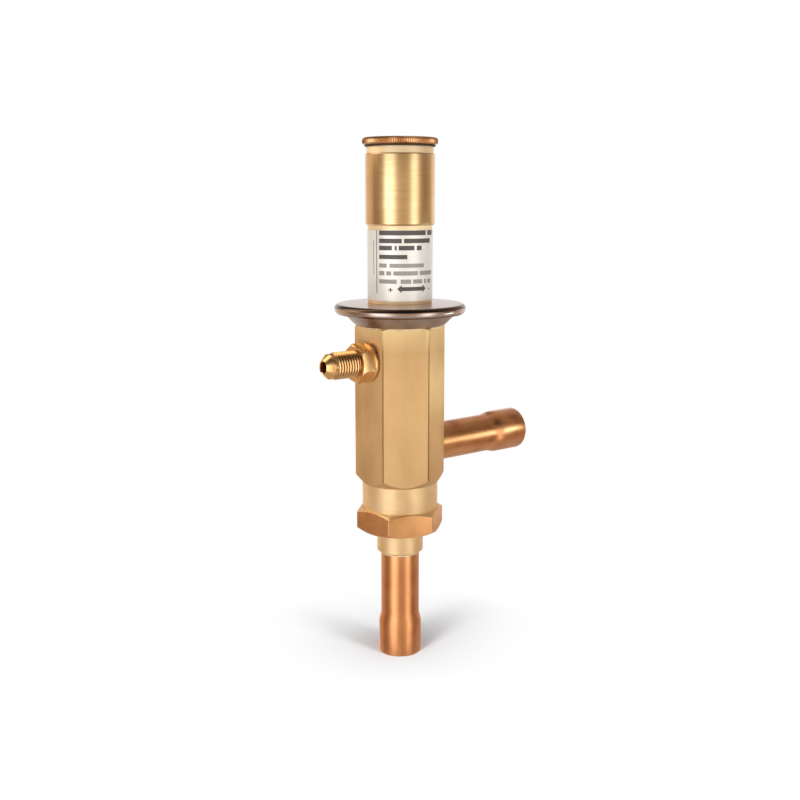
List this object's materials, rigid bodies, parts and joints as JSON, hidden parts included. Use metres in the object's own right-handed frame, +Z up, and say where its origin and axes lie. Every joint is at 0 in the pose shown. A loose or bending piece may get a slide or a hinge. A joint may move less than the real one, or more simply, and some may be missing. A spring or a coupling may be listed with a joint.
{
  "type": "hot gas bypass valve",
  "caption": "Brass hot gas bypass valve: hexagonal body with copper solder tubes at foot and side, a flare pilot fitting, a diaphragm case and a capped spring housing.",
  "frame": {"origin": "centre of the inlet tube's open end, on the valve's axis", "axes": "+Z up the valve's axis to the cap, +X out along the outlet tube, -X along the pilot fitting"},
  "size_m": [0.1054, 0.0546, 0.219],
  "materials": {
    "yellow_brass": "satin, turned from bar",
    "red_brass": "satin, turned from hexagon bar",
    "cap_brass": "satin with a straight knurl",
    "bright_brass": "polished",
    "copper": "drawn copper tube, satin",
    "plated_steel": "pressed sheet, plated",
    "spring_steel": "dark wire",
    "steel": "machined",
    "stainless_sheet": "thin spring sheet",
    "braze": "silver braze, uneven",
    "black_rubber": "matt",
    "white_plastic": "satin",
    "label_film": "satin film"
  },
  "bodies": {
    "valve": {"spring_housing": "yellow_brass", "label": "label_film", "upper_shell": "plated_steel", "diaphragm": "stainless_sheet", "lower_shell": "plated_steel", "case_braze": "braze", "pin_guide": "yellow_brass", "pilot_orifice": "steel", "pilot_plug": "yellow_brass", "valve_body": "yellow_brass", "pilot_gasket": "copper", "pilot_fitting": "bright_brass", "main_spring": "spring_steel", "pilot_spring": "spring_steel", "closing_spring": "spring_steel", "bottom_connector": "red_brass", "connector_gasket": "copper", "inlet_tube": "copper", "inlet_braze": "braze", "outlet_tube": "copper", "outlet_braze": "braze"},
    "seal_ring": {"cap_seal": "black_rubber"},
    "cap": {"knurled_cap": "cap_brass"},
    "seat_carrier": {"upper_spring_seat": "steel"},
    "screw": {"setting_screw": "steel"},
    "diaphragm_stack": {"lower_spring_seat": "steel", "thrust_plate": "steel", "pressure_pin": "steel", "pilot_ball": "steel", "ball_carrier": "steel"},
    "piston": {"servo_piston": "yellow_brass", "piston_ring": "white_plastic", "valve_plate": "white_plastic", "plate_nut": "steel"}
  },
  "joints": [
    {"name": "cap_lift", "type": "slide", "parent": "valve", "child": "seal_ring", "axis": [0, 0, 1], "range_m": [0, 0.00585]},
    {"name": "cap_turn", "type": "hinge", "parent": "seal_ring", "child": "cap", "pos_m": [0, 0, 0.21625], "axis": [0, 0, 1], "range_deg": [0, 2107]},
    {"name": "seat_travel", "type": "slide", "parent": "valve", "child": "seat_carrier", "axis": [0, 0, 1], "range_m": [-0.0075, 0], "deforming": ["main_spring"]},
    {"name": "screw_turn", "type": "hinge", "parent": "seat_carrier", "child": "screw", "pos_m": [0, 0, 0.196], "axis": [0, 0, 1], "range_deg": [-1801, 0]},
    {"name": "diaphragm_stroke", "type": "slide", "parent": "valve", "child": "diaphragm_stack", "axis": [0, 0, 1], "range_m": [0, 0.0006], "stiffness_N_per_m": 1000, "springref_m": -0.005, "deforming": ["diaphragm", "main_spring", "pilot_spring"]},
    {"name": "piston_lift", "type": "slide", "parent": "valve", "child": "piston", "axis": [0, 0, 1], "range_m": [0, 0.005], "stiffness_N_per_m": 800, "springref_m": -0.004, "deforming": ["closing_spring"]}
  ],
  "couplings": [
    {"joint": "cap_turn", "follows": "cap_lift", "rad_per_m": 6283.2},
    {"joint": "screw_turn", "follows": "seat_travel", "rad_per_m": 4188.8}
  ]
}
